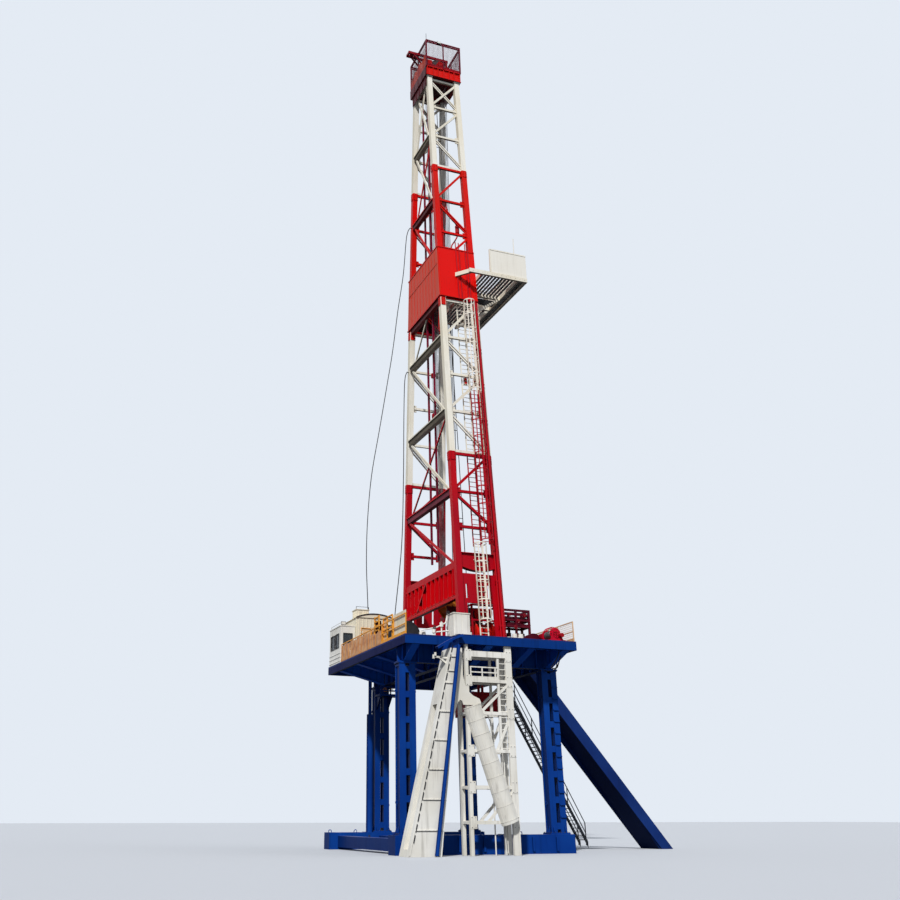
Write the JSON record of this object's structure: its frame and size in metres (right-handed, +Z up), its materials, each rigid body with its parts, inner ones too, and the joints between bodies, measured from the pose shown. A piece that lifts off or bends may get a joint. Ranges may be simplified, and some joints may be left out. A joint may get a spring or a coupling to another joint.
{
  "type": "oil drilling rig, scale model at 1:2",
  "caption": "Land drilling rig at half size: braced open-front mast with crown and racking board on a raised drill floor with columns, ramp and houses.",
  "frame": {"origin": "middle of the footprint box at ground level; the well centre is at x -1.87 m, y 0.53 m", "axes": "+X to the open pipe-handling side of the mast and its ramp, +Y to the side of the dog house, +Z up"},
  "size_m": [9.9249, 7.5884, 29.0503],
  "materials": {
    "structure_blue": "weathered gloss paint",
    "deck_navy": "worn satin paint",
    "mast_crimson": "weathered gloss paint",
    "mast_red": "weathered gloss paint",
    "mast_white": "weathered gloss paint",
    "tower_white": "dusty satin paint",
    "rail_yellow": "satin paint",
    "panel_tan": "satin paint",
    "house_white": "satin paint",
    "house_glass": "dark tinted",
    "machine_red": "satin paint",
    "machine_grey": "satin paint",
    "sheave_steel": "greased and worn",
    "wire_rope": "greased wire",
    "cable_black": "matt, dusty",
    "block_orange": "worn gloss paint",
    "stair_grey": "galvanised, dull"
  },
  "bodies": {
    "root": {"base_boxes": "structure_blue", "base_spreaders": "structure_blue", "rear_columns": "structure_blue", "front_columns": "structure_blue", "side_girders": "structure_blue", "cross_girders": "structure_blue", "floor_cantilevers": "structure_blue", "edge_beams": "structure_blue", "drill_floor": "deck_navy", "rotary_table": "machine_red", "pipe_ramp": "deck_navy", "ground_stairs": "stair_grey", "stair_tower": "tower_white", "leaning_chute": "tower_white", "chute_hood": "tower_white", "flow_pipe": "structure_blue", "service_platform": "structure_blue", "hung_tank": "machine_red", "drawworks": "machine_grey", "equipment_rack": "machine_red", "floor_winch": "machine_red", "white_cabinet": "tower_white", "rear_railing": "rail_yellow", "front_railing": "panel_tan", "floor_windwall": "house_white", "dog_house": "house_white", "dog_house_roof": "house_white", "driller_cabin": "tower_white", "cabin_glass": "house_glass", "near_truss_low": "mast_crimson", "near_truss_mid": "mast_white", "near_truss_wind": "mast_red", "near_truss_top": "mast_white", "far_truss_low": "mast_crimson", "far_truss_mid": "mast_white", "far_truss_wind": "mast_red", "far_truss_top": "mast_white", "back_girts_low": "mast_crimson", "back_girts_mid": "mast_white", "back_girts_wind": "mast_red", "back_girts_top": "mast_white", "panel_girder": "mast_crimson", "mast_windwall": "mast_red", "monkey_board": "mast_white", "board_fingers": "machine_grey", "board_windbox": "mast_white", "crown_frame": "mast_red", "crown_railing": "mast_crimson", "gin_pole": "mast_red", "white_ladder": "mast_white", "red_ladder": "mast_crimson", "standpipes": "mast_crimson", "guide_rails": "mast_crimson", "drilling_lines": "wire_rope", "long_line": "cable_black", "short_line": "cable_black"},
    "travelling_block": {"travelling_block": "block_orange"},
    "crown_sheaves": {"crown_sheaves": "sheave_steel"},
    "dog_house_door": {"dog_house_door": "panel_tan"}
  },
  "joints": [
    {"name": "block_hoist", "type": "slide", "parent": "root", "child": "travelling_block", "axis": [0, 0, 1], "range_m": [0, 19.8], "deforming": ["drilling_lines"]},
    {"name": "crown_sheave_spin", "type": "hinge", "parent": "root", "child": "crown_sheaves", "pos_m": [-1.87, 0.53, 28.27], "axis": [0, 1, 0], "continuous": true},
    {"name": "dog_house_door_hinge", "type": "hinge", "parent": "root", "child": "dog_house_door", "pos_m": [-4.136, 2.316, 5.85], "axis": [0, 0, 1], "range_deg": [-110, 0]}
  ]
}
